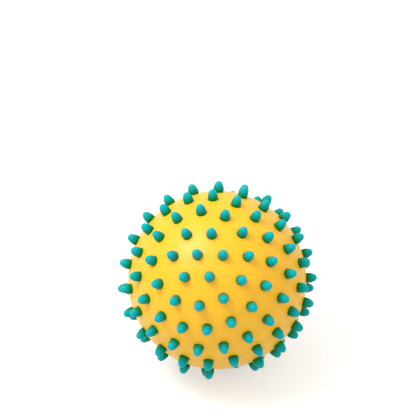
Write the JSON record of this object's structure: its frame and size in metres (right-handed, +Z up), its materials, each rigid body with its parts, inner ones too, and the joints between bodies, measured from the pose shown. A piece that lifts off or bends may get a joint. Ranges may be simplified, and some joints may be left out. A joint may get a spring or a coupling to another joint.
{
  "type": "sensory ball",
  "caption": "Air-filled ball of soft vinyl, covered in rings of solid rounded nubs, with a flush air valve and a pull-out stopper.",
  "frame": {"origin": "centre of the ball", "axes": "+Z up as the ball stands on three nubs of its lower half; the axis of the rings of nubs leans 37.7 degrees from +Z towards -Y"},
  "size_m": [0.1766, 0.1778, 0.1765],
  "materials": {
    "skin_vinyl": "satin",
    "nub_vinyl": "satin",
    "plug_vinyl": "satin"
  },
  "bodies": {
    "ball": {"skin": "skin_vinyl", "upper_pole_nub": "nub_vinyl", "upper_ring_1_nubs": "nub_vinyl", "upper_ring_2_nubs": "nub_vinyl", "upper_ring_3_nubs": "nub_vinyl", "upper_ring_4_nubs": "nub_vinyl", "upper_ring_5_nubs": "nub_vinyl", "lower_ring_5_nubs": "nub_vinyl", "lower_ring_4_nubs": "nub_vinyl", "lower_ring_3_nubs": "nub_vinyl", "lower_ring_2_nubs": "nub_vinyl", "lower_ring_1_nubs": "nub_vinyl", "lower_pole_nub": "nub_vinyl", "valve_seat": "skin_vinyl"},
    "plug": {"valve_plug": "plug_vinyl"}
  },
  "joints": [
    {"name": "plug_pull", "type": "slide", "parent": "ball", "child": "plug", "axis": [0.3563, -0.5084, -0.784], "range_m": [0, 0.016]}
  ]
}
